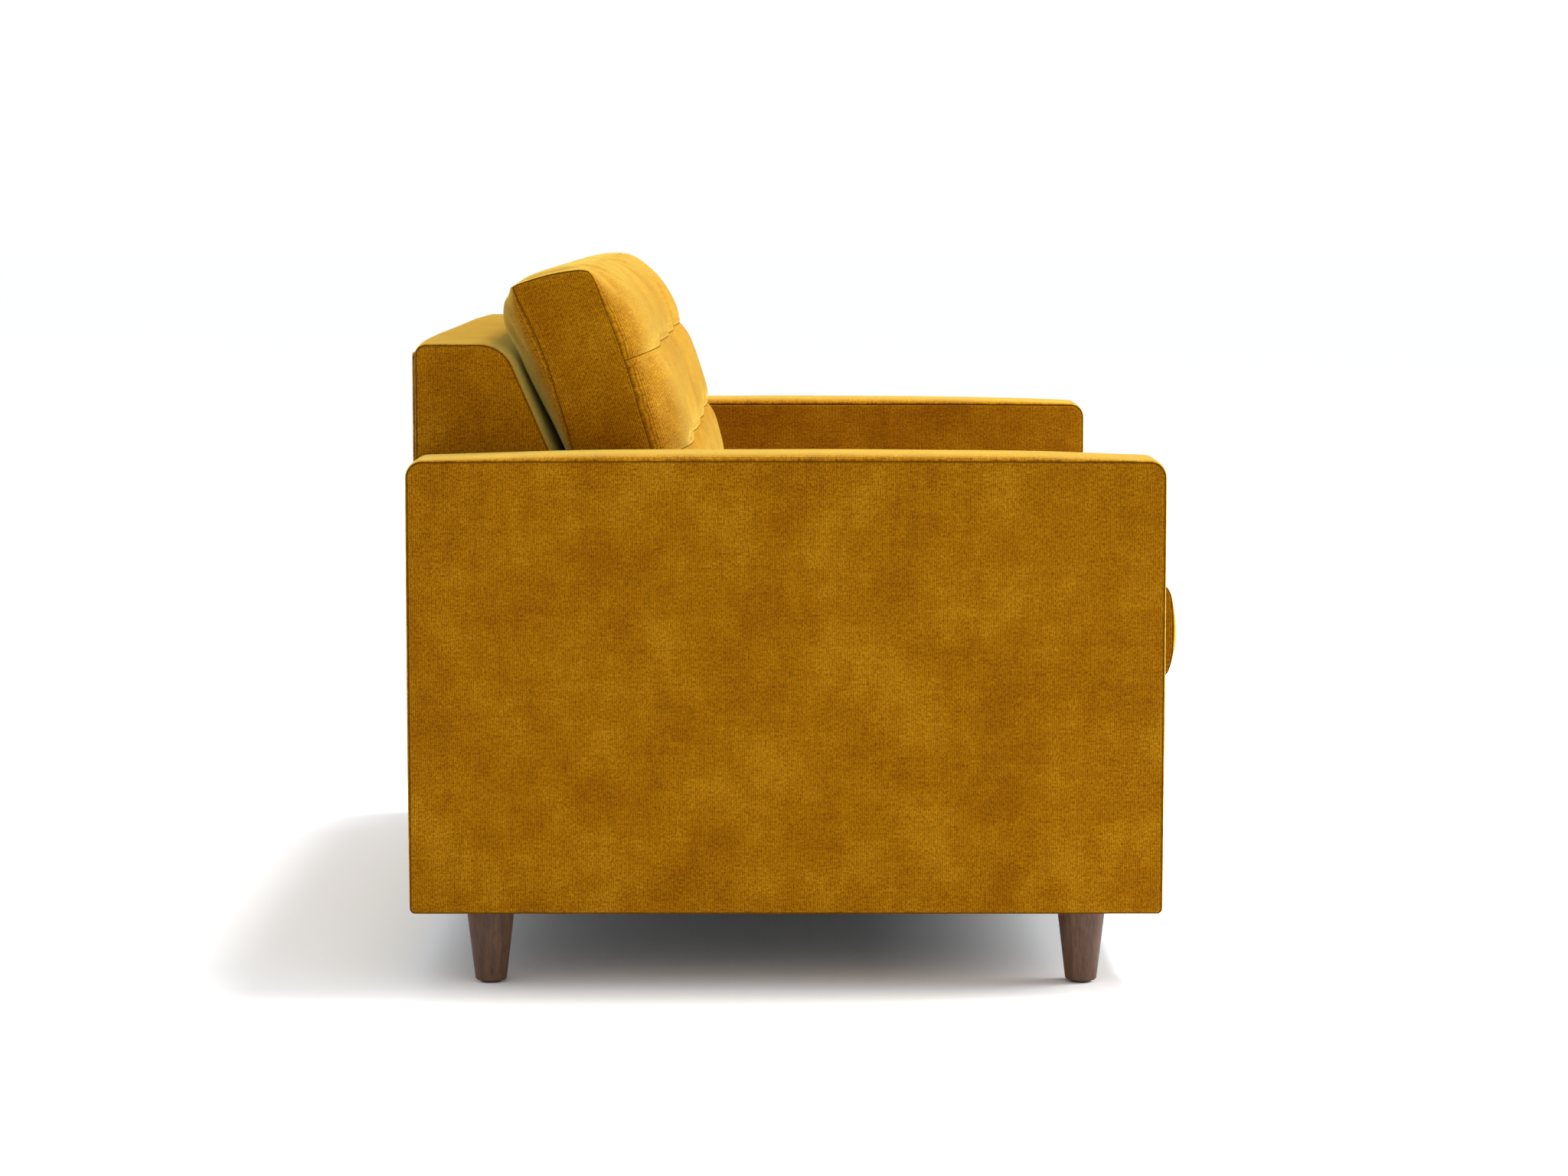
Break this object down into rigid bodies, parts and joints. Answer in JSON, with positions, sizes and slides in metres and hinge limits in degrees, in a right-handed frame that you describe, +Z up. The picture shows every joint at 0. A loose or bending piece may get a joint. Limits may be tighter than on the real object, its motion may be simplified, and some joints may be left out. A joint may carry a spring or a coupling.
{
  "type": "two-seat sofa with wooden legs",
  "caption": "Upholstered track-arm sofa with loose seat and tufted back cushions over a sprung timber frame on tapered wooden legs.",
  "frame": {"origin": "on the floor, under the middle of the sofa's overall box", "axes": "+X to the sitter's left along the sofa's width, -Y to the front, +Z up"},
  "size_m": [1.41, 0.957, 0.8888],
  "materials": {
    "velvet": "mustard velvet with a fine woven rib and a bright sheen at grazing angles",
    "walnut": "satin walnut stain with fine upright grain",
    "timber": "planed softwood",
    "plywood": "sanded plywood",
    "steel": "zinc-plated",
    "foam": "open-cell upholstery foam",
    "black_cloth": "matt non-woven cloth and webbing",
    "glide_plastic": "moulded nail-on glide",
    "zip_tape": "woven zip tape with nylon coil"
  },
  "bodies": {
    "root": {"front_rail": "timber", "back_rail": "timber", "side_rail_left": "timber", "side_rail_right": "timber", "centre_rail": "timber", "corner_blocks": "timber", "leg_nuts": "steel", "leg_bolts": "steel", "leg_front_left": "walnut", "leg_front_right": "walnut", "leg_back_left": "walnut", "leg_back_right": "walnut", "leg_glides": "glide_plastic", "seat_springs": "steel", "spring_clips": "steel", "deck_pad": "foam", "deck_cloth": "black_cloth", "dust_cover": "black_cloth", "front_panel_padding": "foam", "front_panel_cover": "velvet", "arm_frame_left": "timber", "arm_frame_right": "timber", "arm_boards_left": "plywood", "arm_boards_right": "plywood", "arm_padding_left": "foam", "arm_padding_right": "foam", "arm_outer_panel_left": "velvet", "arm_outer_panel_right": "velvet", "arm_inner_panel_left": "velvet", "arm_inner_panel_right": "velvet", "arm_band_left": "velvet", "arm_band_right": "velvet", "arm_bolts": "steel", "back_gussets": "plywood", "back_top_rails": "timber", "back_lower_rails": "timber", "back_webbing": "black_cloth", "back_padding": "foam", "back_side_panel_left": "velvet", "back_side_panel_right": "velvet", "back_band": "velvet", "back_rear_cover": "velvet", "back_bolts": "steel"},
    "seat_cushion_left": {"seat_cover_left": "velvet", "seat_foam_left": "foam", "seat_zip_left": "zip_tape"},
    "seat_cushion_right": {"seat_cover_right": "velvet", "seat_foam_right": "foam", "seat_zip_right": "zip_tape"},
    "back_cushion_left": {"back_cover_left": "velvet", "back_fill_left": "foam", "back_zip_left": "zip_tape"},
    "back_cushion_right": {"back_cover_right": "velvet", "back_fill_right": "foam", "back_zip_right": "zip_tape"},
    "seat_slider_left": {"seat_zip_slider_left": "steel"},
    "seat_slider_right": {"seat_zip_slider_right": "steel"},
    "back_slider_left": {"back_zip_slider_left": "steel"},
    "back_slider_right": {"back_zip_slider_right": "steel"}
  },
  "joints": [
    {"name": "seat_lift_left", "type": "slide", "parent": "root", "child": "seat_cushion_left", "axis": [0, 0, 1], "range_m": [0, 0.3]},
    {"name": "seat_lift_right", "type": "slide", "parent": "root", "child": "seat_cushion_right", "axis": [0, 0, 1], "range_m": [0, 0.3]},
    {"name": "back_lift_left", "type": "slide", "parent": "seat_cushion_left", "child": "back_cushion_left", "axis": [0, 0, 1], "range_m": [0, 0.3]},
    {"name": "back_lift_right", "type": "slide", "parent": "seat_cushion_right", "child": "back_cushion_right", "axis": [0, 0, 1], "range_m": [0, 0.3]},
    {"name": "seat_zip_run_left", "type": "slide", "parent": "seat_cushion_left", "child": "seat_slider_left", "axis": [1, 0, 0], "range_m": [0, 0.4]},
    {"name": "seat_zip_run_right", "type": "slide", "parent": "seat_cushion_right", "child": "seat_slider_right", "axis": [1, 0, 0], "range_m": [0, 0.4]},
    {"name": "back_zip_run_left", "type": "slide", "parent": "back_cushion_left", "child": "back_slider_left", "axis": [1, 0, 0], "range_m": [0, 0.4]},
    {"name": "back_zip_run_right", "type": "slide", "parent": "back_cushion_right", "child": "back_slider_right", "axis": [1, 0, 0], "range_m": [0, 0.4]}
  ]
}
